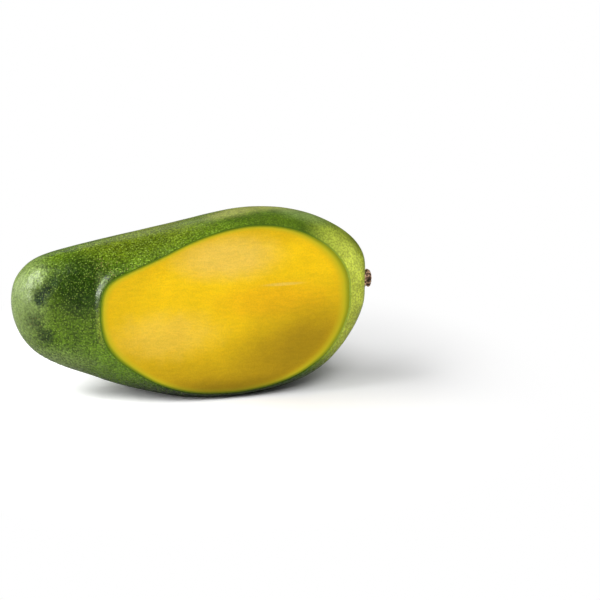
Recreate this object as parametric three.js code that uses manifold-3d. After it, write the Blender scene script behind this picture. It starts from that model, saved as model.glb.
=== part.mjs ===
// A mango with one cheek sliced off, lying on its side on a level surface.
// Millimetres, +Z up. X runs from the blossom tip (-X) to the stem end (+X), the cut face looks
// towards -Y, and the origin is the middle of the small flat spot that the fruit rests on.
import * as THREE from "three";
import { mergeVertices } from "three/addons/utils/BufferGeometryUtils.js";
import Module from "manifold-3d";

// The whole fruit.
const LENGTH = 149;
const ROUNDNESS = 2.15; // power of the superellipse that each cross-section follows

// Fullness of its sides at evenly spaced stations round the profile, from tip to stem end:
// each is the half-width of an ellipsoid that would touch the skin there.
const CROWN = [46, 38.5, 31, 30, 33.5, 41.5, 47.5, 51, 55];
const BELLY = [49, 45.5, 40, 39.5, 42, 43.5, 45.5, 44.5, 44];
const CUT_CHEEK = [27, 25, 22, 24, 30.5, 28.5, 23, 24, 38];
const FAR_CHEEK = [21, 22, 25, 28.5, 31, 32, 31, 30.5, 33];
const MIDLINE = [3, 2.5, 1, 0.5, 6.5]; // height of the widest line, tip to stem end

// The shallow hollows of the cut side. Turn is counted round the fruit in degrees, from the far
// cheek over the crown, and so is spread, the reach round it. Depth is a share of the radius.
const FLANK_HOLLOW = { x: -24, turn: 120, depth: 0.14, reach: 22, spread: 35 };
const LIP_HOLLOW = { x: -41.3, turn: 175, depth: 0.105, reach: 12, spread: 60 };

// The second one ends towards the stem in a lip, which rises more steeply. From just above the
// hollow's middle the lip slants towards the stem, and the hollow ends sooner there.
const LIP_REACH = 2.6;
const LIP_SLANT = 6; // how far the lip has moved 30 degrees further up
const LIP_LEVEL = 4; // how far above the hollow's middle the slant begins, in degrees
const LIP_TOP = 32; // spread of the hollow above its middle

// The dimple that the stem sits in.
const DIMPLE = { depth: 1.8, radius: 8 };

// The knife's plane: its distance from the fruit's middle, and its skew along the fruit.
const KNIFE_OFFSET = 14.9;
const KNIFE_SKEW = THREE.MathUtils.degToRad(4);

// How the fruit lies: it leans back a little, on a spot that its weight has flattened.
const LEAN_BACK = THREE.MathUtils.degToRad(2);
const REST_DEPTH = 2.2;
const REST_POINT = { x: 8, y: 0 }; // the middle of the spot, below the fruit's own axis

// The woody stem stub, and the socket that it grows out of.
const STUB_SIDE = [[3.4, 0], [3.9, 0.9], [4, 1.8], [3.4, 2.4], [3.5, 3.2], [2.9, 4], [1.8, 4.4]];
const STUB_LOBES = 5;
const STUB_LOBE_DEPTH = 0.07;
const SOCKET_DEPTH = 1.2;
const SOCKET_GAP = 0.3;

const AROUND = 72;
const ALONG = 80;
const STUB_SEGMENTS = 30;
const BLOCK = 400; // side of the blocks that stand for the knife and the table

const wasm = await Module();
wasm.setup();

// The value at share t (0 to 1) of a smooth curve through evenly spaced values, level at its ends.
function along(values, t) {
  const last = values.length - 1;
  const place = Math.min(t * last, last - 1e-9);
  const i = Math.floor(place);
  const f = place - i;
  const at = (k) => values[last - Math.abs(last - Math.abs(k))];
  const [a, b, c, d] = [at(i - 1), at(i), at(i + 1), at(i + 2)];
  return b + 0.5 * f * (c - a + f * (2 * a - 5 * b + 4 * c - d + f * (3 * b - a - 3 * c + d)));
}

// One side of a cross-section: v is -1 to 1 across it, plus and minus its reach each way.
function reachAcross(v, plus, minus) {
  const s = Math.sign(v) * Math.abs(v) ** (2 / ROUNDNESS);
  return (s * (plus + minus) + s * s * (plus - minus)) / 2;
}

const bell = (v) => Math.exp(-v * v);

// How far apart two turns are, from -180 to 180 degrees.
const turnFrom = (start, turn) => THREE.MathUtils.euclideanModulo(turn - start + 180, 360) - 180;

// How much of the radius the hollows take away at a place on the skin.
function hollowed(x, turn) {
  const offFlank = turnFrom(FLANK_HOLLOW.turn, turn) / FLANK_HOLLOW.spread;
  const flank = FLANK_HOLLOW.depth * bell((x - FLANK_HOLLOW.x) / FLANK_HOLLOW.reach) * bell(offFlank);

  const below = turnFrom(LIP_HOLLOW.turn, turn);
  const slant = LIP_SLANT * (Math.max(0, -below - LIP_LEVEL) / 30) ** 2;
  const past = x - LIP_HOLLOW.x - slant;
  const spread = below > 0 ? LIP_HOLLOW.spread : LIP_TOP;
  const rise = past < 0 ? bell(past / LIP_HOLLOW.reach) : Math.exp(0.3 - Math.hypot(0.3, past / LIP_REACH));
  return flank + LIP_HOLLOW.depth * rise * bell(below / spread);
}

// The skin point in a direction from the middle of the fruit, about the fruit's own axis.
function skinPoint(direction) {
  const share = Math.acos(THREE.MathUtils.clamp(-direction.x, -1, 1)) / Math.PI;
  const width = Math.hypot(direction.y, direction.z);
  const turn = Math.atan2(direction.z, direction.y);
  const x = (direction.x * LENGTH) / 2;

  const size = width * (1 - hollowed(x, THREE.MathUtils.radToDeg(turn)));
  const y = size * reachAcross(Math.cos(turn), along(FAR_CHEEK, share), along(CUT_CHEEK, share));
  const z = size * reachAcross(Math.sin(turn), along(CROWN, share), along(BELLY, share));

  const dimple = x > 0 ? DIMPLE.depth * bell(Math.hypot(y, z) / DIMPLE.radius) : 0;
  return new THREE.Vector3(x - dimple, y, z + along(MIDLINE, share));
}

// A three.js geometry as a manifold solid, and back again.
function solidOf(geometry) {
  const bare = geometry.clone();
  bare.deleteAttribute("normal");
  bare.deleteAttribute("uv");
  const merged = mergeVertices(bare, 1e-4);
  return new wasm.Manifold(new wasm.Mesh({
    numProp: 3,
    vertProperties: merged.attributes.position.array,
    triVerts: new Uint32Array(merged.index.array),
  }));
}

function geometryOf(solid) {
  const mesh = solid.getMesh();
  const geometry = new THREE.BufferGeometry();
  geometry.setAttribute("position", new THREE.BufferAttribute(mesh.vertProperties, 3));
  geometry.setIndex(new THREE.BufferAttribute(mesh.triVerts, 1));
  geometry.computeVertexNormals();
  return geometry;
}

// The whole fruit, uncut, about its own axis.
function wholeFruit() {
  const geometry = new THREE.SphereGeometry(1, AROUND, ALONG).rotateZ(Math.PI / 2);
  const position = geometry.attributes.position;
  const direction = new THREE.Vector3();
  for (let i = 0; i < position.count; i += 1) {
    direction.fromBufferAttribute(position, i).normalize();
    position.setXYZ(i, ...skinPoint(direction));
  }
  return geometry;
}

// The stub, standing up +Y from its seat; grow widens it, to cut its socket.
function stemStub(grow = 0) {
  const side = STUB_SIDE.map(([radius, height]) => new THREE.Vector2(radius + grow, height));
  const bottom = new THREE.Vector2(0, -grow);
  const top = new THREE.Vector2(0, STUB_SIDE.at(-1)[1] + grow);
  const geometry = new THREE.LatheGeometry([bottom, ...side, top], STUB_SEGMENTS);
  const position = geometry.attributes.position;
  for (let i = 0; i < position.count; i += 1) {
    const turn = Math.atan2(position.getZ(i), position.getX(i));
    const lobe = 1 + STUB_LOBE_DEPTH * Math.cos(STUB_LOBES * turn);
    position.setX(i, position.getX(i) * lobe);
    position.setZ(i, position.getZ(i) * lobe);
  }
  return geometry;
}

// Everything in front of the knife's plane.
function slicedCheek() {
  return new THREE.BoxGeometry(BLOCK, BLOCK, BLOCK)
    .translate(0, -BLOCK / 2 - KNIFE_OFFSET, 0)
    .rotateZ(KNIFE_SKEW);
}

// The surface that the fruit lies on.
function table() {
  return new THREE.BoxGeometry(BLOCK, BLOCK, BLOCK).translate(0, 0, -BLOCK / 2);
}

// The fruit's own frame: leaning back, and standing with its rest spot on the origin.
const mango = new THREE.Group();
const leaning = solidOf(wholeFruit().rotateX(-LEAN_BACK)).boundingBox();
mango.rotation.x = -LEAN_BACK;
mango.position.set(-REST_POINT.x, -REST_POINT.y, -leaning.min[2] - REST_DEPTH);
mango.updateMatrix();

// The stub's seat is a little below the bottom of the dimple, facing along the fruit.
const stub = new THREE.Mesh(
  geometryOf(solidOf(stemStub())),
  new THREE.MeshStandardMaterial({ color: 0x6b4a30, roughness: 0.9, metalness: 0 }),
);
stub.name = "stem_stub";
stub.position.copy(skinPoint(new THREE.Vector3(1, 0, 0))).x -= SOCKET_DEPTH;
stub.rotation.z = -Math.PI / 2;
stub.updateMatrix();
mango.add(stub);

const fruit = new THREE.Mesh(
  geometryOf(
    solidOf(wholeFruit())
      .subtract(solidOf(slicedCheek()))
      .subtract(solidOf(stemStub(SOCKET_GAP).applyMatrix4(stub.matrix)))
      .subtract(solidOf(table().applyMatrix4(mango.matrix.clone().invert()))),
  ),
  new THREE.MeshStandardMaterial({ color: 0x4f7a1e, roughness: 0.42, metalness: 0 }),
);
fruit.name = "mango_fruit";
mango.add(fruit);

export default mango;
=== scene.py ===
import math

import bmesh
import bpy
from bpy.props import FloatProperty, FloatVectorProperty, PointerProperty
from bpy.types import Operator, Panel, PropertyGroup
from mathutils import Matrix, Vector, noise
from mathutils.bvhtree import BVHTree


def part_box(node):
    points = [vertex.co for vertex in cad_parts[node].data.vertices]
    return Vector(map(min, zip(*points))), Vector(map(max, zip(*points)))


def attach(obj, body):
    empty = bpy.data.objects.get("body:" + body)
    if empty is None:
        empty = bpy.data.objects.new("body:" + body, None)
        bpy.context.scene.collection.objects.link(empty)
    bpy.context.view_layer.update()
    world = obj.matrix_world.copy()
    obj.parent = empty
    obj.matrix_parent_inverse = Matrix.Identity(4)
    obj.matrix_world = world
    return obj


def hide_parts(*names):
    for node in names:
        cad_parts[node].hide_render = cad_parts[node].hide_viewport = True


bl_info = {
    "name": "Sliced mango",
    "version": (1, 0, 0),
    "blender": (4, 5, 0),
    "location": "View3D > Sidebar > Mango",
    "description": "Peel, flesh and stem of a mango with one cheek sliced away",
    "category": "Add Mesh",
}

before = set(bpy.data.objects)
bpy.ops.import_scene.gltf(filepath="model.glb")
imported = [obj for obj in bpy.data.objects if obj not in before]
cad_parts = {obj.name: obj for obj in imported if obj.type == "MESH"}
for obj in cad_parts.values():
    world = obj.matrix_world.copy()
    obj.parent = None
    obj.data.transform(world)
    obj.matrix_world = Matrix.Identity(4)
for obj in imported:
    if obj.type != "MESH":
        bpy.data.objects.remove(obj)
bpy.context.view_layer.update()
FRUIT_LOW, FRUIT_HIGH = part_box("mango_fruit")
STUB_LOW, STUB_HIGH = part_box("stem_stub")

MM = 0.001
TOUCHING = 0.001 * MM  # things this near each other touch
BALL_FACES = 94  # along each side of the cube that a skin is rounded from
CRISP = math.radians(50)  # an edge between faces that meet more sharply than this stays crisp
UNDER_SKIN = "under_skin"  # the attribute that says how many millimetres a point is under the skin


# ---------------------------------------------------------------- sizes and colours


def length(name, description, millimetres):
    return FloatProperty(name=name, description=description, default=millimetres * MM, unit="LENGTH")


def angle(name, description, degrees):
    return FloatProperty(name=name, description=description, default=math.radians(degrees), subtype="ANGLE")


def share(name, description, default):
    return FloatProperty(name=name, description=description, default=default, min=0, max=1, subtype="FACTOR")


def level(name, description, default):
    return FloatProperty(name=name, description=description, default=default, min=0)


def outline(name, description, millimetres):
    return FloatVectorProperty(
        name=name,
        description=description,
        size=len(millimetres),
        default=[value * MM for value in millimetres],
        unit="LENGTH",
    )


def colour(name, description, linear):
    return FloatVectorProperty(
        name=name, description=description, size=3, default=linear, min=0, max=1, subtype="COLOR"
    )


class MangoShape(PropertyGroup):
    """The sizes of the fruit, the same as its solid has. Outlines run from the tip to the stem end."""

    body_length: length("Length", "From the blossom tip to the stem end", 149)
    roundness: FloatProperty(name="Roundness", description="Power of each cross-section", default=2.15)
    crown: outline("Crown", "Fullness above the middle", (46, 38.5, 31, 30, 33.5, 41.5, 47.5, 51, 55))
    belly: outline("Belly", "Fullness below the middle", (49, 45.5, 40, 39.5, 42, 43.5, 45.5, 44.5, 44))
    cut_cheek: outline("Cut cheek", "Fullness to the cut side", (27, 25, 22, 24, 30.5, 28.5, 23, 24, 38))
    far_cheek: outline("Far cheek", "Fullness to the back", (21, 22, 25, 28.5, 31, 32, 31, 30.5, 33))
    midline: outline("Middle line", "Height of the widest line", (3, 2.5, 1, 0.5, 6.5))
    dimple_depth: length("Dimple depth", "Of the dimple round the stem", 1.8)
    dimple_radius: length("Dimple radius", "Of the dimple round the stem", 8)
    socket_depth: length("Socket depth", "Of the stem's seat, below the dimple", 1.5)
    socket_radius: length("Socket radius", "Of the stem's seat", 4.2)
    lean_back: angle("Lean back", "How far the top leans away from the cut side", 2)
    knife_offset: length("Knife offset", "From the fruit's middle to the cut", 14.9)
    knife_skew: angle("Knife skew", "Of the cut, along the fruit", 4)
    peel: length("Peel", "Thickness of the peel", 0.4)
    waviness: length("Waviness", "Height of the slow waves of the skin", 0.22)


class MangoColours(PropertyGroup):
    """The colours of the skin, flesh and stem."""

    green: colour("Green", "Of most of the skin", (0.078, 0.138, 0.005))
    # Deep green is the darkest skin, and is also the painted shade under the fruit.
    deep_green: colour("Deep green", "Of the darkest skin", (0.014, 0.036, 0.001))
    leaf_green: colour("Leaf green", "Of the skin low on the sides", (0.12, 0.23, 0.012))
    olive: colour("Olive", "Of the ripening skin", (0.095, 0.13, 0.003))
    # Lime is the skin's own colour near the stem, and also a painted highlight below the lip.
    lime: colour("Lime", "Of the skin near the stem", (0.58, 0.655, 0.072))
    # This khaki is painted sheen along the crown.
    khaki: colour("Khaki", "Of the duller skin along the crown", (0.25, 0.27, 0.045))
    # This pale green is partly the tip's waxy bloom, and partly painted highlight, sheen and light from the
    # floor.
    waxy_green: colour("Waxy green", "Of the paler skin at the tip", (0.19, 0.265, 0.075))
    pore: colour("Pore", "That the pale breathing pores add to the skin", (0.155, 0.215, 0.035))
    rust: colour("Rust", "Of the dark specks near the cut and the tip", (0.1, 0.07, 0.025))
    bruise: colour("Bruise", "Of the blotches near the tip", (0.012, 0.028, 0.008))
    flesh: colour("Flesh", "Of most of the flesh", (0.87, 0.565, 0.004))
    # Pale flesh is painted sheen on the cut face, and a painted highlight along its crease.
    pale_flesh: colour("Pale flesh", "Of the softer patches of the flesh", (0.83, 0.56, 0.082))
    # This is painted light on the flesh near the stem.
    bright_flesh: colour("Bright flesh", "Of the brighter flesh near the stem", (0.95, 0.61, 0.004))
    gold_flesh: colour("Golden flesh", "Of the more orange flesh in the middle", (0.84, 0.48, 0.004))
    # This ochre is the painted shade and shadow on the lower cut face.
    ochre: colour("Ochre", "Of the darker patches of the flesh", (0.4, 0.25, 0.004))
    deep_flesh: colour("Deep flesh", "Of the flesh a little below the peel", (0.72, 0.46, 0.004))
    rim: colour("Rim", "Of the cut edge of the peel", (0.08, 0.15, 0.003))
    pale_rim: colour("Pale rim", "Of the cut edge of the peel near the stem", (0.33, 0.42, 0.04))
    green_flesh: colour("Green flesh", "Of the flesh next to the peel", (0.17, 0.24, 0.004))
    lime_flesh: colour("Lime flesh", "Of the flesh between the green and the deep one", (0.56, 0.48, 0.012))
    bark: colour("Bark", "Of the stem stub", (0.42, 0.26, 0.16))


class MangoStage(PropertyGroup):
    """The camera, the lamps and the floor. A gleam is the brightness of a window that the fruit mirrors."""

    azimuth: angle("Azimuth", "Of the camera", -9)
    elevation: angle("Elevation", "Of the camera above the horizon", 18)
    distance: length("Distance", "From the camera to what it looks at", 900)
    lens: FloatProperty(name="Lens", description="Focal length", default=128.5, unit="CAMERA")
    aside: length("Aside", "How far the camera looks past the middle of the fruit", 46.5)
    height: length("Height", "Of what the camera looks at", 37.2)
    ambient: share("Ambient", "Brightness of the light from all round", 0.25)
    backdrop: share("Backdrop", "Brightness of the backdrop, as the fruit mirrors it", 0.09)
    dark_room: share("Dark room", "Brightness of the camera's side, as the fruit mirrors it", 0.04)
    top_light: share("Top light", "Brightness of the lamp above", 0.75)
    side_light: share("Side light", "Brightness of the lamp at the tip's side", 0.5)
    front_light: share("Front light", "Brightness of the lamp behind the camera", 0.64)
    tip_gleam: level("Tip gleam", "Brightness of the window before the tip", 1.15)
    lip_gleam: level("Lip gleam", "Brightness of the window before the lip", 0.38)
    side_gleam: level("Side gleam", "Brightness of the window beside the tip", 0.4)
    crown_gleam: level("Crown gleam", "Brightness of the window behind", 0.045)
    stem_gleam: level("Stem gleam", "Brightness of the window at the stem's side", 0.11)
    floor: share("Floor", "How white the floor is, as it lights the fruit", 0.37)
    seen_floor: level("Seen floor", "How white the camera sees the floor at the tip's side", 1.3)
    # The rest of the floor is greyer, as painted shade.
    seen_floor_at_stem: level("Seen floor at stem", "How white the camera sees the rest of the floor", 0.8)


# ---------------------------------------------------------------- the fruit's shape

# The two shallow hollows of the cut side: place along the fruit, turn round it from the far cheek
# over the crown, depth as a share of the radius, reach along the fruit, and reach round it.
FLANK_HOLLOW = (-24 * MM, math.radians(120), 0.14, 22 * MM, math.radians(35))
LIP_HOLLOW = (-41.3 * MM, math.radians(175), 0.105, 12 * MM, math.radians(60))
# The second one ends towards the stem in a lip. The lip rises more steeply than the hollow falls,
# from a rounded foot, and higher up it slants towards the stem.
LIP_REACH = 2.6 * MM
LIP_FOOT = 0.3  # as a share of the lip's reach
LIP_SLANT_START = math.radians(4)  # above the hollow's middle
LIP_SLANT_TURN = math.radians(30)
LIP_SLANT = 6 * MM  # how far it has slanted when that much further round the fruit
LIP_TOP = math.radians(32)  # the hollow's reach round the fruit, above its middle

# The part of a unit ball that becomes the lip: lowest and highest X, and highest Y.
LIP_PART = (-0.64, -0.4, -0.3)

# The slow waves of the skin: how long they are, and their share of the waviness.
WAVES = ((21 * MM, 1), (8 * MM, 0.35))
# The dents of the skin at its bruises: place, depth and radius.
DENTS = (
    (Vector((-70, -11, 48)) * MM, 0.5 * MM, 3.5 * MM),
    (Vector((-73, -11, 37)) * MM, 0.35 * MM, 4 * MM),
)
FLAT_EDGE = 0.3 * MM  # how softly the flat spot passes into the belly
SOCKET_POWER = 12  # the higher, the more sharply the stem's seat ends

NEAR_CUT = 0.2 * MM  # points this near the cut move onto it, so that it leaves no thin faces


def bell(value):
    return math.exp(-value * value)


def hollowed(x, turn):
    """The share of the radius that the hollows take away at a place on the skin."""
    place, hollow_turn, depth, reach, spread = FLANK_HOLLOW
    aside = math.remainder(turn - hollow_turn, 2 * math.pi)
    taken = depth * bell((x - place) / reach) * bell(aside / spread)

    place, hollow_turn, depth, reach, spread = LIP_HOLLOW
    aside = math.remainder(turn - hollow_turn, 2 * math.pi)
    above = max(0, -aside - LIP_SLANT_START) / LIP_SLANT_TURN
    past = x - place - LIP_SLANT * above**2
    if past < 0:
        fall = bell(past / reach)
    else:
        fall = math.exp(LIP_FOOT - math.hypot(LIP_FOOT, past / LIP_REACH))
    if aside <= 0:
        spread = LIP_TOP
    return taken + depth * fall * bell(aside / spread)


def along(values, share_along):
    """The value at a share (0 to 1) of a smooth curve through evenly spaced values, level at its ends."""
    last = len(values) - 1
    place = min(share_along * last, last - 1e-9)
    i = int(place)
    f = place - i
    a, b, c, d = (values[last - abs(last - abs(k))] for k in (i - 1, i, i + 1, i + 2))
    return b + 0.5 * f * (c - a + f * (2 * a - 5 * b + 4 * c - d + f * (3 * b - a - 3 * c + d)))


def reach_across(roundness, value, plus, minus):
    """One side of a cross-section: value is -1 to 1 across it, plus and minus its reach each way."""
    s = math.copysign(abs(value) ** (2 / roundness), value)
    return (s * (plus + minus) + s * s * (plus - minus)) / 2


def add_ball(bm):
    """Adds a unit ball of even square faces, finer near the lip, and gives its vertices."""
    bmesh.ops.create_cube(bm, size=math.pi / 2)
    bmesh.ops.subdivide_edges(bm, edges=bm.edges[:], cuts=BALL_FACES - 1, use_grid_fill=True)
    for v in bm.verts:
        v.co = Vector(math.tan(c) for c in v.co).normalized()
    low_x, high_x, high_y = LIP_PART
    at_lip = [e for e in bm.edges if low_x < e.verts[0].co.x < high_x and e.verts[0].co.y < high_y]
    bmesh.ops.subdivide_edges(bm, edges=at_lip, cuts=1, use_grid_fill=True)
    for v in bm.verts:
        v.co.normalize()
    return bm.verts[:]


class Fruit:
    """The whole fruit, worked out once from its sizes and laid in its solid's place."""

    def __init__(self, shape):
        outlines = (shape.crown, shape.belly, shape.cut_cheek, shape.far_cheek, shape.midline)
        self.outlines = [tuple(values) for values in outlines]
        self.sizes = {name: getattr(shape, name) for name in shape.__annotations__}
        self.skin = self.make_skin()
        facing = Vector((math.sin(shape.knife_skew), -math.cos(shape.knife_skew), 0))
        self.cut_point = self.place @ (facing * shape.knife_offset)
        self.cut_facing = (self.place.to_3x3() @ facing).normalized()

    def axis_point(self, direction):
        """The skin point in a direction from the middle of the fruit, about its own axis."""
        size = self.sizes
        share_along = math.acos(max(-1, min(1, -direction.x))) / math.pi
        crown, belly, cut_cheek, far_cheek, midline = (along(v, share_along) for v in self.outlines)
        turn = math.atan2(direction.z, direction.y)
        x = direction.x * size["body_length"] / 2
        reach = math.hypot(direction.y, direction.z) * (1 - hollowed(x, turn))
        y = reach * reach_across(size["roundness"], math.cos(turn), far_cheek, cut_cheek)
        z = reach * reach_across(size["roundness"], math.sin(turn), crown, belly)
        if x > 0:
            out = math.hypot(y, z)
            x -= size["dimple_depth"] * bell(out / size["dimple_radius"])
            x -= size["socket_depth"] / (1 + (out / size["socket_radius"]) ** SOCKET_POWER)
        return Vector((x, y, z + midline))

    def resting_place(self, points):
        """The matrix that lays the fruit in its solid's place."""
        lean = Matrix.Rotation(-self.sizes["lean_back"], 4, "X")
        leant = [lean @ p for p in points]
        low_x = min(p.x for p in leant)
        high_y = max(p.y for p in leant)
        high_z = max(p.z for p in leant)
        move = Vector((FRUIT_LOW.x - low_x, FRUIT_HIGH.y - high_y, FRUIT_HIGH.z - high_z))
        return Matrix.Translation(move) @ lean

    def make_skin(self):
        """Makes the mesh of the whole skin, with its slow waves and the flat spot that it rests on."""
        bm = bmesh.new()
        verts = add_ball(bm)
        points = [self.axis_point(v.co) for v in verts]
        self.place = self.resting_place(points)
        for v, point in zip(verts, points):
            v.co = self.place @ point
        bm.normal_update()
        for v in verts:
            wave = sum(height * noise.noise(v.co / size) for size, height in WAVES)
            dent = sum(depth * bell((v.co - place).length / radius) for place, depth, radius in DENTS)
            v.co += v.normal * (wave * self.sizes["waviness"] - dent)
            v.co.z = (v.co.z + math.hypot(v.co.z, FLAT_EDGE)) / 2
        bmesh.ops.recalc_face_normals(bm, faces=bm.faces[:])
        mesh = bpy.data.meshes.new("whole_skin")
        bm.to_mesh(mesh)
        bm.free()
        return mesh

    def add_skin(self, bm, depth=0):
        """Adds the whole fruit's skin, or the surface that lies at some depth below it."""
        before = len(bm.verts)
        bm.from_mesh(self.skin)
        verts = bm.verts[before:]
        for v in verts:
            v.co -= v.normal * depth
        return verts

    def past_cut(self, point):
        """How far a point lies past the knife's plane, on the side that was cut away."""
        return (point - self.cut_point).dot(self.cut_facing)


def cut_across(bm, fruit):
    """Adds edges all along the knife's cut, and gives them. Nothing is taken away yet."""
    facing = fruit.cut_facing
    for v in bm.verts:
        height = fruit.past_cut(v.co)
        if abs(height) < NEAR_CUT:
            downhill = facing - v.normal * facing.dot(v.normal)
            v.co -= downhill * height / downhill.dot(facing)
    made = bmesh.ops.bisect_plane(
        bm,
        geom=bm.verts[:] + bm.edges[:] + bm.faces[:],
        dist=0.1 * TOUCHING,
        plane_co=fruit.cut_point,
        plane_no=facing,
    )
    return [e for e in made["geom_cut"] if isinstance(e, bmesh.types.BMEdge)]


def add_piece(context, bm, name, material, *nodes, slot):
    """Makes a mesh object of the piece and fits it into the frame in place of its solids."""
    for face in bm.faces:
        face.smooth = True
    for edge in bm.edges:
        edge.smooth = edge.smooth and edge.calc_face_angle(0) < CRISP
    mesh = bpy.data.meshes.new(name)
    bm.to_mesh(mesh)
    bm.free()
    mesh.materials.append(material)
    piece = bpy.data.objects.new(name, mesh)
    context.scene.collection.objects.link(piece)
    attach(piece, "root")
    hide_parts(*nodes)


# ---------------------------------------------------------------- materials


class Nodes:
    """A node tree in the making."""

    def __init__(self, tree):
        self.tree = tree

    def fill(self, node, inputs):
        """Links the inputs that are other nodes' results, and sets the rest."""
        for key, value in inputs.items():
            socket = node.inputs[key]
            if isinstance(value, bpy.types.NodeSocket):
                self.tree.links.new(value, socket)
            elif socket.type == "RGBA":
                socket.default_value = (*value, 1)
            else:
                socket.default_value = value

    def add(self, kind, inputs, **settings):
        """Adds a node and gives its outputs. Every method below adds nodes and gives one result."""
        node = self.tree.nodes.new(kind)
        for key, value in settings.items():
            setattr(node, key, value)
        self.fill(node, inputs)
        return node.outputs

    def math(self, operation, first, second):
        return self.add("ShaderNodeMath", {0: first, 1: second}, operation=operation)["Value"]

    def ramp(self, value, start, end, low=0.0, high=1.0, shape="SMOOTHSTEP"):
        """Goes from low to high as value goes from start to end, and stays there."""
        inputs = {"Value": value, "From Min": start, "From Max": end, "To Min": low, "To Max": high}
        return self.add("ShaderNodeMapRange", inputs, interpolation_type=shape)["Result"]


class Finish(Nodes):
    """A material in the making. Its patterns keep to their place on the piece."""

    def __init__(self, name):
        self.material = bpy.data.materials.new(name)
        self.material.use_nodes = True
        super().__init__(self.material.node_tree)
        self.surface = self.tree.nodes["Principled BSDF"]
        place = self.add("ShaderNodeTexCoord", {})["Object"]
        self.where = self.scale(place, 1 / MM)  # in millimetres

    def vector(self, operation, first, second=(0, 0, 0)):
        made = self.add("ShaderNodeVectorMath", {0: first, 1: second}, operation=operation)
        return made["Value" if operation == "LENGTH" else "Vector"]

    def scale(self, vector, factor):
        return self.add("ShaderNodeVectorMath", {0: vector, "Scale": factor}, operation="SCALE")["Vector"]

    def axis(self, name):
        return self.add("ShaderNodeSeparateXYZ", {"Vector": self.where})[name]

    def under_skin(self):
        return self.add("ShaderNodeAttribute", {}, attribute_name=UNDER_SKIN)["Fac"]

    def noise(self, size, detail=2.0, stretch=(1, 1, 1)):
        """Noise of 0 to 1, whose patches are about that many millimetres wide."""
        spread = self.vector("MULTIPLY", self.where, tuple(1 / (size * s) for s in stretch))
        inputs = {"Vector": spread, "Scale": 1.0, "Detail": detail}
        return self.add("ShaderNodeTexNoise", inputs)["Fac"]

    def patch(self, middle, reach, ragged=0.0):
        """1 in the middle of a soft patch, and 0 past its reach each way. Ragged roughens its edge."""
        aside = self.vector("SUBTRACT", self.where, middle)
        far = self.vector("LENGTH", self.vector("DIVIDE", aside, reach))
        if ragged:
            rough = self.math("SUBTRACT", self.noise(0.3 * min(reach), detail=3), 0.5)
            far = self.math("ADD", far, self.math("MULTIPLY", rough, ragged))
        return self.ramp(far, 1, 0.25)

    def dots(self, spacing, radius, seed):
        """Round dots of different sizes and strengths, up to that radius and some way apart."""
        moved = self.vector("ADD", self.where, (seed, seed, seed))
        cell = self.add("ShaderNodeTexVoronoi", {"Vector": self.scale(moved, 1 / spacing), "Scale": 1.0})
        chance = self.add("ShaderNodeSeparateColor", {"Color": cell["Color"]})
        size = self.ramp(chance["Red"], 0, 1, 0.6 * radius / spacing, radius / spacing)
        strength = self.ramp(chance["Green"], 0, 1, 0.5, 1)
        dot = self.ramp(self.math("DIVIDE", cell["Distance"], size), 1, 0.4)
        return self.math("MULTIPLY", dot, strength)

    def blend(self, factor, first, second):
        """Goes from the first colour to the second as factor goes from 0 to 1."""
        return self.add("ShaderNodeMix", {0: factor, 6: first, 7: second}, data_type="RGBA")[2]

    def shade(self, base, value, start, end, first, last):
        """Makes a colour first to last times as bright as value goes from start to end."""
        return self.scale(base, self.ramp(value, start, end, first, last))

    def paint(self, base, colours, patches):
        """Paints soft patches of other colours over a colour."""
        for name, middle, reach, ragged, cover in patches:
            covered = self.math("MULTIPLY", self.patch(middle, reach, ragged), cover)
            base = self.blend(covered, base, getattr(colours, name))
        return base

    def bump(self, height, depth, below=None):
        """The surface's facing, raised by height times depth, in metres, above the bumps below."""
        inputs = {"Height": height, "Distance": depth, "Strength": 1.0}
        if below is not None:
            inputs["Normal"] = below
        return self.add("ShaderNodeBump", inputs)["Normal"]


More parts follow.
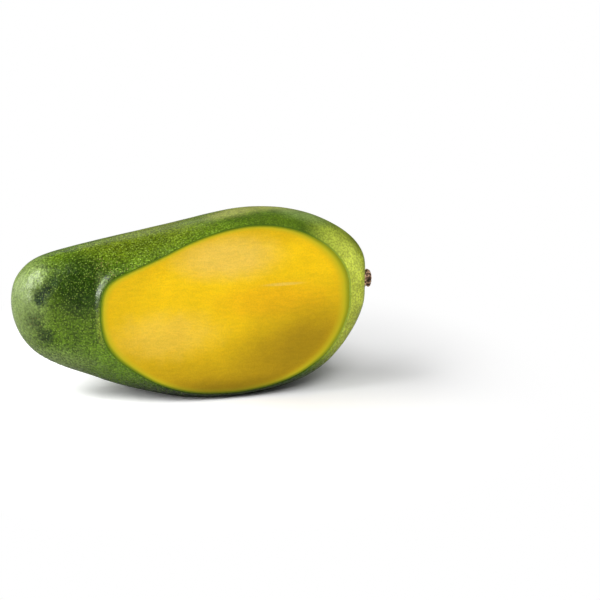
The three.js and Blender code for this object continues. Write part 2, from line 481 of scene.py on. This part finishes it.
# The soft patches of the skin: colour, middle and reach in millimetres, how ragged its edge is,
# and how much it covers. Some are painted sheen, highlights, light from the floor and shade.
SKIN_PATCHES = (
    # Painted sheen along the crown, in khaki.
    ("khaki", (-28, 9, 72), (34, 11, 9), 0.3, 0.5),
    ("khaki", (26, 5, 79.5), (46, 10, 9), 0.3, 1),
    ("khaki", (8, 0, 77), (18, 8, 7), 0.3, 0.8),
    ("olive", (-25, -2, 68), (44, 16, 15), 0.5, 0.85),
    ("deep_green", (16, -8, 74), (40, 12, 9), 0.5, 0.1),
    # Painted sheen along the crown near the stem.
    ("waxy_green", (40, -1, 75), (20, 8, 10), 0.4, 0.6),
    # Waxy bloom at the tip, with a painted highlight over it.
    ("waxy_green", (-84, -4, 46), (22, 24, 36), 0.4, 1),
    # Painted highlight on the tip.
    ("waxy_green", (-73, -10, 57), (9, 9, 7), 0.8, 0.75),
    # Painted highlight below the lip, in lime.
    ("lime", (-46.5, -15, 38), (3, 8, 16), 0.3, 0.3),
    # Painted highlight on the lip.
    ("waxy_green", (-46.5, -15.5, 51), (3.5, 8, 9), 0.4, 1),
    # Painted light from the floor along the lower flank.
    ("waxy_green", (-66, -4, 18), (40, 16, 14), 0.5, 0.85),
    ("deep_green", (-56, -12, 52), (17, 15, 18), 0.4, 0.95),
    ("deep_green", (-50, -13, 49), (11, 12, 12), 0.4, 0.8),
    ("deep_green", (-26, -7, 66), (18, 9, 9), 0.4, 0.4),
    ("bruise", (-65.5, -11, 53.5), (3.8, 7, 3.8), 0.9, 0.75),
    ("bruise", (-68, -11, 50.5), (3.8, 7, 4), 0.9, 0.9),
    ("bruise", (-71, -11.5, 47), (4, 7, 5), 0.9, 1),
    ("bruise", (-73.5, -11, 37), (5, 7, 6), 1.6, 0.55),
    ("bruise", (-69, -11, 31), (4.5, 6, 6), 1.4, 0.75),
    # Painted shade: the underside turns deep green near the floor.
    ("deep_green", (0, -10, 0), (60, 30, 18), 0.3, 0.9),
)
# Where the skin has rusty specks: middle and reach in millimetres.
RUSTY_PATCHES = (
    ((-41, -12, 58), (15, 14, 9)),
    ((-74, -9, 36), (8, 9, 8)),
)
# Where the skin has fewer pores and less grain: middle and reach in millimetres, and the share of
# them that is left.
SMOOTH_PATCHES = (
    ((-56, -12, 50), (20, 20, 20), 0.7),
    ((-28, 9, 72), (50, 12, 8), 0.35),
    ((-84, -8, 46), (22, 30, 30), 0.3),
)


def skin_colour(f, colours, blotches, to_stem):
    """Green skin with soft patches, painted sheen and rusty specks, pale at the stem and with painted shade
    underneath.
    """
    skin = f.blend(f.ramp(f.noise(26, detail=3), 0.4, 0.7, 0, 0.6), colours.green, colours.deep_green)
    skin = f.blend(f.ramp(f.axis("Z"), 42, 12), skin, colours.leaf_green)
    pale = f.math("MULTIPLY", to_stem, f.ramp(f.axis("Y"), -2, -9, 0.35, 1))
    skin = f.blend(pale, skin, colours.lime)
    skin = f.paint(skin, colours, SKIN_PATCHES)
    skin = f.shade(skin, blotches, 0.3, 0.7, 1.15, 0.85)
    # Painted shade: the skin darkens towards the floor.
    skin = f.shade(skin, f.axis("Z"), 0, 20, 0.35, 1)
    for middle, reach in RUSTY_PATCHES:
        specks = f.math("MULTIPLY", f.dots(1.2, 0.5, seed=20), f.patch(middle, reach, ragged=0.8))
        skin = f.blend(specks, skin, colours.rust)
    return skin


def with_pores(f, colours, skin, to_stem):
    """The skin with its grain, its pale breathing pores, and a few greener pits."""
    grain = f.noise(0.8, detail=1)
    smooth = f.shade(skin, grain, 0.3, 0.7, 1.17, 0.83)
    grainy = f.shade(skin, grain, 0.3, 0.7, 1.5, 0.5)
    grainy = f.blend(f.dots(0.85, 0.45, seed=0), grainy, f.vector("ADD", grainy, colours.pore))
    left = f.ramp(f.axis("X"), -25, 35, 1, 0.25)
    for middle, reach, share_left in SMOOTH_PATCHES:
        left = f.math("MULTIPLY", left, f.ramp(f.patch(middle, reach), 0, 1, 1, share_left))
    skin = f.blend(left, smooth, grainy)
    pits = f.math("MULTIPLY", f.dots(2.4, 0.45, seed=50), f.ramp(to_stem, 0, 1, 0.3, 0.5))
    return f.blend(pits, skin, colours.leaf_green)


def skin_finish(colours):
    """Waxy green skin, dull along the crown and crinkled at the tip. Its cut edge is the rim."""
    f = Finish("waxy_peel")
    blotches = f.noise(7, detail=3)
    fine = f.noise(1.5, detail=2)
    to_stem = f.ramp(f.axis("X"), 36, 60)
    skin = skin_colour(f, colours, blotches, to_stem)
    skin = with_pores(f, colours, skin, to_stem)
    # Painted shade: the peel's cut edge darkens towards the floor.
    rim = f.shade(f.blend(to_stem, colours.rim, colours.pale_rim), f.axis("Z"), 0, 20, 0.2, 1)
    dull = f.math("MULTIPLY", f.patch((40, -6, 72), (50, 20, 16)), 0.25)
    crinkles = f.math("MULTIPLY", f.noise(4, detail=2), f.patch((-73, -9, 55), (9, 9, 8)))
    f.fill(f.surface, {
        "Base Color": f.blend(f.ramp(f.under_skin(), 0.04, 0.15), skin, rim),
        "Roughness": f.math("ADD", f.ramp(fine, 0.3, 0.7, 0.24, 0.34), dull),
        "Normal": f.bump(fine, 0.07 * MM, f.bump(crinkles, 0.7 * MM, f.bump(blotches, 0.3 * MM))),
        "Specular IOR Level": 0.28,
    })
    return f.material


# The soft patches of the flesh: as for the skin. Some are painted sheen, a painted highlight, painted light
# and a painted shadow.
FLESH_PATCHES = (
    # Painted sheen on the upper cut face.
    ("pale_flesh", (6, -13, 61), (30, 30, 13), 0.25, 0.9),
    ("gold_flesh", (24, -13, 42), (34, 30, 11), 0.25, 0.9),
    # Painted sheen on the lower cut face.
    ("pale_flesh", (-20, -16, 30), (30, 30, 14), 0.5, 0.5),
    # Painted light on the flesh near the stem.
    ("bright_flesh", (50, -12, 62), (26, 30, 18), 0.3, 0.9),
    # Painted shadow on the lower cut face towards the stem.
    ("ochre", (44, -12, 17), (50, 40, 30), 0.2, 0.95),
    # Painted highlight along the knife's crease.
    ("pale_flesh", (29, -13, 48.4), (12, 30, 1), 0.2, 0.8),
)


def flesh_finish(colours):
    """Moist yellow flesh with fine fibres along it, which turns green towards the peel, with painted sheen,
    light and shade.
    """
    f = Finish("moist_flesh")
    fibres = f.noise(1.1, detail=3, stretch=(4, 1, 1))
    grain = f.noise(0.6, detail=1)
    depth = f.under_skin()

    flesh = f.blend(f.ramp(depth, 1, 12, 0.7, 0), colours.flesh, colours.deep_flesh)
    # Painted shade: the flesh darkens to ochre towards the bottom.
    flesh = f.blend(f.ramp(f.axis("Z"), 34, 2, 0, 0.8), flesh, colours.ochre)
    flesh = f.paint(flesh, colours, FLESH_PATCHES)
    flesh = f.shade(flesh, f.noise(14, detail=2), 0.35, 0.65, 0.97, 1.03)
    flesh = f.shade(flesh, fibres, 0.3, 0.7, 0.96, 1.04)
    flesh = f.shade(flesh, grain, 0.3, 0.7, 0.95, 1.05)

    greenest = f.ramp(f.axis("X"), 20, 50, 1, 0.7)
    flesh = f.blend(f.ramp(depth, 1, 3.5, 0.4, 0), flesh, colours.deep_flesh)
    flesh = f.blend(f.ramp(depth, 0.8, 2.4, 1, 0), flesh, colours.lime_flesh)
    flesh = f.blend(f.ramp(depth, 0.45, 1.3, greenest, 0), flesh, colours.green_flesh)
    # Painted shade: the base colour darkens further towards the floor.
    f.fill(f.surface, {
        "Base Color": f.shade(flesh, f.axis("Z"), 1, 12, 0.35, 1),
        "Roughness": f.ramp(fibres, 0.3, 0.7, 0.5, 0.38),
        "Normal": f.bump(fibres, 0.08 * MM, f.bump(grain, 0.04 * MM)),
        "Subsurface Weight": 0.25,
        "Subsurface Radius": (2 * MM, 1.2 * MM, 0.4 * MM),
        "Subsurface Scale": 1.0,
        "Specular IOR Level": 0.2,
    })
    return f.material


def stem_finish(colours):
    """Dry wood, pale on its ridges and nearly black in its furrows."""
    f = Finish("dry_stem")
    grain = f.noise(1.0, detail=3, stretch=(3, 1, 1))
    dark = tuple(0.12 * c for c in colours.bark)
    pale = tuple(min(1, 2 * c) for c in colours.bark)
    bark = f.blend(f.ramp(grain, 0.4, 0.52), dark, colours.bark)
    f.fill(f.surface, {
        "Base Color": f.blend(f.ramp(grain, 0.52, 0.66), bark, pale),
        "Roughness": 0.85,
        "Normal": f.bump(grain, 0.25 * MM),
    })
    return f.material


# In millimetres: where along X the seen floor goes from its look at the tip's side to the greyer look at the
# stem's, which is painted shade, and how far from the origin it turns into the white backdrop.
FLOOR_CHANGE = (-70, 40)
FLOOR_EDGE = (75, 150)


def floor_finish(stage):
    """A pale floor, which the camera sees whiter, greyer towards the stem as painted shade, and further off
    as the white backdrop.
    """
    f = Finish("pale_floor")
    seen = f.add("ShaderNodeLightPath", {})["Is Camera Ray"]
    # Painted shade: the seen floor greys towards the stem's side.
    seen_white = f.ramp(f.axis("X"), *FLOOR_CHANGE, stage.seen_floor, stage.seen_floor_at_stem)
    white = f.ramp(seen, 0, 1, stage.floor, seen_white)
    grey = f.add("ShaderNodeCombineColor", {"Red": white, "Green": white, "Blue": white})
    f.fill(f.surface, {
        "Base Color": grey["Color"],
        "Roughness": 0.9,
        "Specular IOR Level": 0.0,
    })
    off = f.ramp(f.vector("LENGTH", f.where), *FLOOR_EDGE)
    glow = f.add("ShaderNodeEmission", {"Strength": 1.0})["Emission"]
    shaders = {0: f.math("MULTIPLY", off, seen), 1: f.surface.outputs["BSDF"], 2: glow}
    mixed = f.add("ShaderNodeMixShader", shaders)["Shader"]
    f.fill(f.tree.nodes["Material Output"], {"Surface": mixed})
    return f.material


# ---------------------------------------------------------------- the pieces


class MANGO_OT_peel(Operator):
    """Make the peel: a thin closed shell, cut open where the cheek was"""

    bl_idname = "mango.peel"
    bl_label = "Peel"

    def execute(self, context):
        shape = context.scene.mango_shape
        fruit = Fruit(shape)
        bm = bmesh.new()
        deep = bm.verts.layers.float.new(UNDER_SKIN)
        fruit.add_skin(bm)
        inner = fruit.add_skin(bm, shape.peel)
        for v in inner:
            v[deep] = shape.peel / MM
        bmesh.ops.reverse_faces(bm, faces=list({face for v in inner for face in v.link_faces}))
        cut_across(bm, fruit)
        cheek = [v for v in bm.verts if fruit.past_cut(v.co) > TOUCHING]
        bmesh.ops.delete(bm, geom=cheek, context="VERTS")
        rim = [e for e in bm.edges if e.is_boundary]
        bmesh.ops.bridge_loops(bm, edges=rim)
        outer_rim = [e for e in rim if e.verts[0][deep] < 0.5 * shape.peel / MM]
        ease_rim(bm, outer_rim)
        material = skin_finish(context.scene.mango_colours)
        add_piece(context, bm, "mango_peel", material, "mango_fruit", slot="skin")
        return {"FINISHED"}


RIM_BEVEL = 0.12 * MM  # how far the outer edge of the cut is rounded
SHORTEST_EDGE = 0.003 * MM


def ease_rim(bm, outer_rim):
    """Rounds the outer edge of the peel's cut, and clears away what the rounding leaves too small."""
    bmesh.ops.bevel(
        bm,
        geom=outer_rim,
        offset=RIM_BEVEL,
        segments=2,
        profile=0.5,
        affect="EDGES",
        material=-1,
        clamp_overlap=True,
    )
    bmesh.ops.dissolve_degenerate(bm, dist=SHORTEST_EDGE, edges=bm.edges[:])
    loose = [v for v in bm.verts if not v.link_faces]
    bmesh.ops.delete(bm, geom=loose, context="VERTS")


PEEL_GAP = 0.03 * MM  # between the peel and the flesh


class MANGO_OT_flesh(Operator):
    """Make the flesh that fills the peel, with the knife's marks on its cut face"""

    bl_idname = "mango.flesh"
    bl_label = "Flesh"

    def execute(self, context):
        shape = context.scene.mango_shape
        fruit = Fruit(shape)
        skin = bmesh.new()
        fruit.add_skin(skin)
        skin_tree = BVHTree.FromBMesh(skin)
        skin.free()

        bm = bmesh.new()
        deep = bm.verts.layers.float.new(UNDER_SKIN)
        fruit.add_skin(bm, shape.peel + PEEL_GAP)
        rim = cut_across(bm, fruit)
        for edge in rim:
            edge.smooth = False
        for v in bm.verts:
            height = fruit.past_cut(v.co)
            if height > -TOUCHING:
                v.co -= fruit.cut_facing * height
                v[deep] = skin_tree.find_nearest(v.co)[3] / MM
                v.co -= fruit.cut_facing * knife_mark(v.co, v[deep])
        bmesh.ops.recalc_face_normals(bm, faces=bm.faces[:])
        material = flesh_finish(context.scene.mango_colours)
        add_piece(context, bm, "mango_flesh", material, "mango_fruit", slot="flesh")
        return {"FINISHED"}


# The knife's marks: above a rounded crease the cut face is a facet that slopes back slightly, and
# whose slope comes in gradually along the fruit. All of the face has slow waves. The marks fade out
# towards the peel.
CREASE_HEIGHT = 52 * MM
CREASE_ROUNDING = 1.2 * MM
FACET_SLOPE = 0.05
FACET_START = 2 * MM
FACET_FADE = 8 * MM
KNIFE_WAVE_HEIGHT = 0.12 * MM
KNIFE_WAVE_LENGTH = 24 * MM
MARK_FADE = 6  # millimetres under the skin


def knife_mark(point, deep):
    """How far the cut face lies behind the knife's plane at a point, deep millimetres below the skin."""
    above = point.z - CREASE_HEIGHT
    facet = FACET_SLOPE * (above + math.hypot(above, CREASE_ROUNDING)) / 2
    facet /= 1 + math.exp((FACET_START - point.x) / FACET_FADE)
    wave = KNIFE_WAVE_HEIGHT * (1 + noise.noise(point / KNIFE_WAVE_LENGTH))
    return (facet + wave) * min(1, deep / MARK_FADE)


STUB_STEPS = 60  # round the stub, before its faces are divided
# The stub's side, from the middle of its seat to the middle of its worn end: radius and height, as
# shares of the stub's.
STUB_SIDE = (
    (0, 0), (0.8, 0), (0.97, 0.15), (1, 0.3), (0.92, 0.42), (0.78, 0.5),
    (0.86, 0.6), (0.88, 0.74), (0.72, 0.9), (0.4, 0.98), (0.2, 0.9), (0, 0.86),
)


class MANGO_OT_stem(Operator):
    """Make the woody stub that the stalk broke off from"""

    bl_idname = "mango.stem"
    bl_label = "Stem stub"

    def execute(self, context):
        centre = (STUB_LOW + STUB_HIGH) / 2
        tall = STUB_HIGH.x - STUB_LOW.x
        wide = (STUB_HIGH.y - STUB_LOW.y) / 2
        bm = bmesh.new()
        line = [bm.verts.new((height * tall, radius * wide, 0)) for radius, height in STUB_SIDE]
        edges = [bm.edges.new(pair) for pair in zip(line, line[1:])]
        bmesh.ops.spin(
            bm,
            geom=line + edges,
            cent=(0, 0, 0),
            axis=(1, 0, 0),
            angle=2 * math.pi,
            steps=STUB_STEPS,
            use_merge=True,
        )
        bmesh.ops.remove_doubles(bm, verts=bm.verts[:], dist=TOUCHING)
        bmesh.ops.subdivide_edges(bm, edges=bm.edges[:], cuts=2, use_grid_fill=True, smooth=1)
        for v in bm.verts:
            weather(v.co, tall)
            v.co += Vector((STUB_LOW.x, centre.y, centre.z))
        bmesh.ops.recalc_face_normals(bm, faces=bm.faces[:])
        material = stem_finish(context.scene.mango_colours)
        add_piece(context, bm, "mango_stem", material, "stem_stub", slot="stem")
        return {"FINISHED"}


def weather(point, tall):
    """Moves a point of the smooth stub, which gives it five slanting lobes, nine ridges and rough bark."""
    turn = math.atan2(point.z, point.y)
    lobes = 0.06 * math.cos(5 * turn + 3 * point.x / tall)
    ridges = 0.05 * math.sin(9 * turn)
    rough = 0.05 * noise.noise(Vector((point.x / (1.6 * MM), 4 * math.cos(turn), 4 * math.sin(turn))))
    point.yz = point.yz * (1 + lobes + ridges + rough)
    worn = 0.25 * MM * noise.noise(point / (1.1 * MM))
    point.x += worn * point.x / tall


# ---------------------------------------------------------------- stage

MIDDLE = (FRUIT_LOW + FRUIT_HIGH) / 2
FLOOR_REACH = 6  # metres each way

# The lamps and the windows: azimuth and elevation in degrees, as seen from the fruit's middle,
# distance, width and height in metres, and the setting that says how bright it is.
LAMPS = (
    ("top_lamp", -90, 50, 0.8, (0.5, 0.5), "top_light"),
    ("side_lamp", -55, 27, 0.5, (0.25, 0.25), "side_light"),
    ("front_lamp", 20, 48, 0.6, (0.3, 0.3), "front_light"),
)
WINDOWS = (
    ("tip_window", -75, 28, 0.5, (0.2, 0.42), "tip_gleam"),
    ("lip_window", -60, 8, 0.5, (0.08, 0.15), "lip_gleam"),
    ("side_window", -105, 2, 0.5, (0.4, 0.4), "side_gleam"),
    ("back_window", 178, 27, 0.8, (0.6, 0.25), "crown_gleam"),
    ("stem_window", 72, 10, 0.5, (0.3, 0.35), "stem_gleam"),
)

# How much of a direction points backwards (+Y) where the room that the fruit mirrors ends, and where
# the backdrop is in full.
BACKDROP_EDGE = (0.75, 0.97)


def outward(azimuth, elevation):
    """The direction at those angles from the fruit, azimuth 0 being on the cut side (-Y)."""
    across = math.cos(elevation)
    return Vector((math.sin(azimuth) * across, -math.cos(azimuth) * across, math.sin(elevation)))


def set_facing(thing, aim, back, distance):
    """Adds a lamp or camera to the scene, back from its aim by that distance, and faces it there."""
    thing.location = aim + back * distance
    thing.rotation_euler = back.to_track_quat("Z", "Y").to_euler()
    bpy.context.scene.collection.objects.link(thing)


def add_lamp(name, azimuth, elevation, distance, size, brightness, mirrored):
    """Adds a soft lamp that gives this brightness by itself to white that faces it.

    A mirrored lamp only gleams on the peel and flesh, and any other lamp only lights them.
    """
    data = bpy.data.lights.new(name, "AREA")
    data.shape = "RECTANGLE"
    data.size, data.size_y = size
    data.energy = brightness * (math.pi * distance) ** 2
    lamp = bpy.data.objects.new(name, data)
    lamp.visible_glossy = mirrored
    lamp.visible_diffuse = not mirrored
    set_facing(lamp, MIDDLE, outward(math.radians(azimuth), math.radians(elevation)), distance)


def add_camera(stage):
    data = bpy.data.cameras.new("camera")
    data.lens = stage.lens
    camera = bpy.data.objects.new("camera", data)
    aim = Vector((MIDDLE.x + stage.aside, 0, stage.height))
    set_facing(camera, aim, outward(stage.azimuth, stage.elevation), stage.distance)
    bpy.context.scene.camera = camera


def add_floor(stage):
    mesh = bpy.data.meshes.new("floor")
    bm = bmesh.new()
    bmesh.ops.create_grid(bm, x_segments=1, y_segments=1, size=FLOOR_REACH)
    bm.to_mesh(mesh)
    bm.free()
    mesh.materials.append(floor_finish(stage))
    floor = bpy.data.objects.new("floor", mesh)
    bpy.context.scene.collection.objects.link(floor)


def studio(stage):
    """The light from all round. The fruit mirrors a darker room and a backdrop, and the camera sees white."""
    world = bpy.data.worlds.new("studio")
    world.use_nodes = True
    n = Nodes(world.node_tree)
    direction = n.add("ShaderNodeTexCoord", {})["Generated"]
    backwards = n.add("ShaderNodeSeparateXYZ", {"Vector": direction})["Y"]
    rays = n.add("ShaderNodeLightPath", {})
    mirrored = n.ramp(backwards, *BACKDROP_EDGE, stage.dark_room, stage.backdrop, shape="LINEAR")
    strength = n.ramp(rays["Is Glossy Ray"], 0, 1, stage.ambient, mirrored)
    strength = n.ramp(rays["Is Transmission Ray"], 0, 1, strength, mirrored)
    strength = n.ramp(rays["Is Camera Ray"], 0, 1, strength, 1)
    n.fill(n.tree.nodes["Background"], {"Color": (1, 1, 1), "Strength": strength})
    return world


class MANGO_OT_stage(Operator):
    """Make the floor, the lamps and the camera"""

    bl_idname = "mango.stage"
    bl_label = "Stage"

    def execute(self, context):
        stage = context.scene.mango_stage
        add_floor(stage)
        for lamps, mirrored in ((LAMPS, False), (WINDOWS, True)):
            for *place, setting in lamps:
                add_lamp(*place, getattr(stage, setting), mirrored)
        add_camera(stage)
        context.scene.world = studio(stage)
        context.scene.view_settings.view_transform = "Standard"
        return {"FINISHED"}


# ---------------------------------------------------------------- the add-on


class MANGO_PT_panel(Panel):
    """Lists what the mango is made of"""

    bl_idname = "MANGO_PT_panel"
    bl_label = "Sliced mango"
    bl_space_type = "VIEW_3D"
    bl_region_type = "UI"
    bl_category = "Mango"

    def draw(self, context):
        for operator in OPERATORS:
            self.layout.operator(operator.bl_idname)
        for name in GROUPS:
            group = getattr(context.scene, name)
            box = self.layout.box()
            for setting in group.__annotations__:
                box.prop(group, setting)


GROUPS = {"mango_shape": MangoShape, "mango_colours": MangoColours, "mango_stage": MangoStage}
OPERATORS = (MANGO_OT_peel, MANGO_OT_flesh, MANGO_OT_stem, MANGO_OT_stage)


def register():
    for cls in (*GROUPS.values(), *OPERATORS, MANGO_PT_panel):
        bpy.utils.register_class(cls)
    for name, group in GROUPS.items():
        setattr(bpy.types.Scene, name, PointerProperty(type=group))


def unregister():
    for name in GROUPS:
        delattr(bpy.types.Scene, name)
    for cls in (MANGO_PT_panel, *reversed(OPERATORS), *reversed(GROUPS.values())):
        bpy.utils.unregister_class(cls)


def main():
    register()
    bpy.ops.mango.peel()
    bpy.ops.mango.flesh()
    bpy.ops.mango.stem()
    bpy.ops.mango.stage()


if __name__ == "__main__":
    main()
